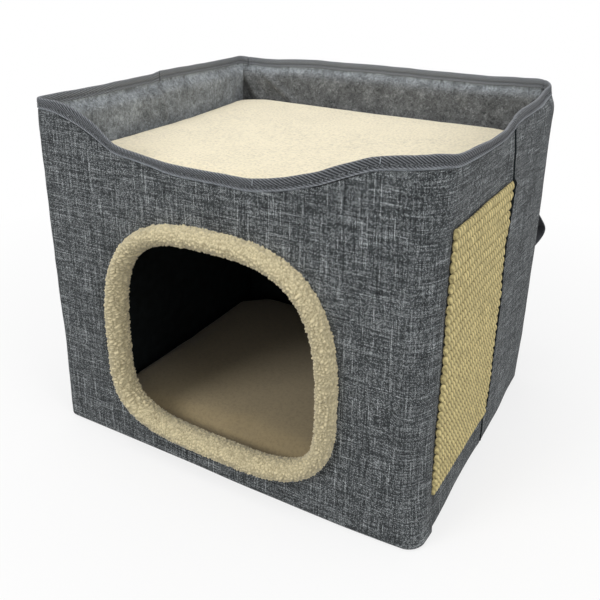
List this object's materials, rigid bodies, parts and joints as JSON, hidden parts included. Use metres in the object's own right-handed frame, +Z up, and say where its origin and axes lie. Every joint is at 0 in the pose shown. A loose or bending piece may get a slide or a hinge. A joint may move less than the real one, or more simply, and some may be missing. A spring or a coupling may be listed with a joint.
{
  "type": "folding cat house",
  "caption": "Fabric cube cat house on stiff boards, with a rolled round door, a cushioned tray on top, a sisal pad on one side and a carrying strap on the back.",
  "frame": {"origin": "on the floor, under the middle of the base", "axes": "+Z up; the door faces -Y and the sisal pad is on the +X side"},
  "size_m": [0.4245, 0.417, 0.36],
  "materials": {
    "linen_fabric": "heather dark grey linen-look weave",
    "hardboard": "plain pressed hardboard",
    "grey_felt": "heather grey needle felt",
    "black_nonwoven": "thin black non-woven fabric",
    "grey_card": "plain grey card",
    "twill_tape": "grey herringbone twill tape",
    "sherpa": "curly cream sherpa pile",
    "cream_fleece": "short cream fleece",
    "mat_suede": "brushed cream suede-look fabric",
    "sisal": "ribbed natural sisal weave",
    "hook_tape": "black hook and loop tape",
    "webbing": "dark grey woven webbing"
  },
  "bodies": {
    "house": {"front_cover": "linen_fabric", "back_cover": "linen_fabric", "left_cover": "linen_fabric", "right_cover": "linen_fabric", "bottom_cover": "linen_fabric", "front_board": "hardboard", "back_board": "hardboard", "left_front_board": "hardboard", "left_rear_board": "hardboard", "right_front_board": "hardboard", "right_rear_board": "hardboard", "front_felt": "grey_felt", "back_felt": "grey_felt", "left_felt": "grey_felt", "right_felt": "grey_felt", "front_cabin_lining": "black_nonwoven", "back_cabin_lining": "black_nonwoven", "left_cabin_lining": "black_nonwoven", "right_cabin_lining": "black_nonwoven", "floor_board": "grey_card", "left_support_board": "black_nonwoven", "right_support_board": "black_nonwoven", "rim_binding": "twill_tape", "door_roll": "sherpa", "lower_loop_strip": "hook_tape", "upper_loop_strip": "hook_tape", "upper_strap_tab": "webbing", "lower_strap_tab": "webbing"},
    "platform": {"platform_board": "hardboard", "platform_cover": "grey_felt"},
    "cushion": {"top_cushion": "cream_fleece"},
    "mat": {"floor_mat": "mat_suede"},
    "scratch_pad": {"sisal_mat": "sisal", "sisal_backing": "grey_card", "lower_hook_strip": "hook_tape", "upper_hook_strip": "hook_tape"},
    "strap": {"carry_strap": "webbing"}
  },
  "joints": [
    {"name": "platform_lift", "type": "slide", "parent": "house", "child": "platform", "axis": [0, 0, 1], "range_m": [0, 0.12]},
    {"name": "cushion_lift", "type": "slide", "parent": "platform", "child": "cushion", "axis": [0, 0, 1], "range_m": [0, 0.1]},
    {"name": "mat_lift", "type": "slide", "parent": "house", "child": "mat", "axis": [0, 0, 1], "range_m": [0, 0.15]},
    {"name": "scratch_pad_pull", "type": "slide", "parent": "house", "child": "scratch_pad", "axis": [1, 0, 0], "range_m": [0, 0.06]},
    {"name": "strap_swing", "type": "hinge", "parent": "house", "child": "strap", "pos_m": [0.17634, 0.18599, 0.198], "axis": [0, 0, 1], "range_deg": [-30, 30]}
  ]
}
